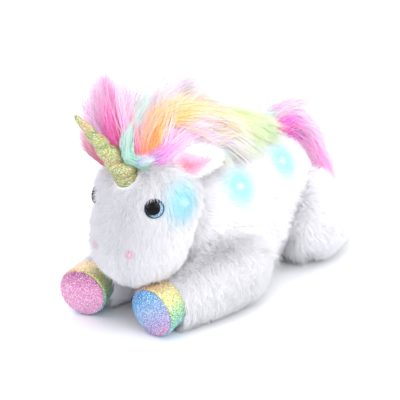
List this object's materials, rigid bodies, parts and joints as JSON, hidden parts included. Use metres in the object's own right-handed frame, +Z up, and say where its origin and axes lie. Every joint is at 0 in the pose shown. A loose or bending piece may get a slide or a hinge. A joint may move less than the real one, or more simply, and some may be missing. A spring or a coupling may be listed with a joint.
{
  "type": "plush night light",
  "caption": "Lying plush unicorn night light with a stuffed spiral horn, rainbow pile, glitter hooves and lamps under its fur, fed from a battery pocket in the belly.",
  "frame": {"origin": "on the surface the toy lies on, under the middle of its overall box", "axes": "+Z up, the toy faces -Y, its left side is +X"},
  "size_m": [0.1992, 0.4456, 0.2772],
  "materials": {
    "white_plush": "long soft pile",
    "rainbow_glitter_cloth": "glitter cloth whose colour runs round from orange to blue",
    "glitter_sole_cloth": "glitter cloth",
    "gold_glitter_cloth": "gold and green glitter cloth",
    "pink_pile": "long silky pile, hot pink to white",
    "rainbow_pile": "long silky pile in pastel rainbow colours",
    "pink_felt": "short soft nap",
    "eye_plastic": "polished",
    "eye_glitter_film": "glitter film",
    "white_plastic": "moulded",
    "grey_plastic": "moulded",
    "contact_steel": "plated",
    "cell_jacket": "printed film, left plain",
    "board_green": "lacquered",
    "lamp_resin": "clear",
    "wire_cover": "smooth",
    "liner_cloth": "thin woven cloth",
    "tape_white": "hook and loop tape"
  },
  "bodies": {
    "toy": {"foreleg_left": "white_plush", "hoof_front_left": "rainbow_glitter_cloth", "sole_front_left": "glitter_sole_cloth", "foreleg_right": "white_plush", "hoof_front_right": "rainbow_glitter_cloth", "sole_front_right": "glitter_sole_cloth", "hindleg_left": "white_plush", "hoof_rear_left": "rainbow_glitter_cloth", "sole_rear_left": "glitter_sole_cloth", "hindleg_right": "white_plush", "hoof_rear_right": "rainbow_glitter_cloth", "sole_rear_right": "glitter_sole_cloth", "ear_left": "white_plush", "ear_lining_left": "pink_felt", "ear_right": "white_plush", "ear_lining_right": "pink_felt", "horn": "gold_glitter_cloth", "forelock": "pink_pile", "mane": "rainbow_pile", "tail": "pink_pile", "eye_left": "eye_plastic", "eye_glitter_left": "eye_glitter_film", "eye_washer_left": "white_plastic", "eye_right": "eye_plastic", "eye_glitter_right": "eye_glitter_film", "eye_washer_right": "white_plastic", "nostril_left": "pink_felt", "nostril_right": "pink_felt", "module_case": "white_plastic", "battery_cover": "white_plastic", "cover_screw": "contact_steel", "module_lid": "white_plastic", "battery_1": "cell_jacket", "contact_plate_1": "contact_steel", "contact_spring_1": "contact_steel", "battery_2": "cell_jacket", "contact_plate_2": "contact_steel", "contact_spring_2": "contact_steel", "battery_3": "cell_jacket", "contact_plate_3": "contact_steel", "contact_spring_3": "contact_steel", "circuit_board": "board_green", "switch_housing": "grey_plastic", "pocket_liner": "liner_cloth", "loop_tape": "tape_white", "lamp_cheek_left": "lamp_resin", "lamp_shoulder_left": "lamp_resin", "lamp_flank_left": "lamp_resin", "lamp_cheek_right": "lamp_resin", "lamp_shoulder_right": "lamp_resin", "lamp_flank_right": "lamp_resin", "wire_harness": "wire_cover", "head": "white_plush", "torso": "white_plush"},
    "button": {"push_button": "grey_plastic"},
    "flap": {"pocket_flap": "white_plush", "hook_tape": "tape_white"}
  },
  "joints": [
    {"name": "button_press", "type": "slide", "parent": "toy", "child": "button", "axis": [0, 0, 1], "range_m": [0, 0.0015], "stiffness_N_per_m": 800, "springref_m": -0.0003},
    {"name": "flap_swing", "type": "hinge", "parent": "toy", "child": "flap", "pos_m": [0, 0.0804, 0.0032], "axis": [1, 0, 0], "range_deg": [0, 130]}
  ]
}
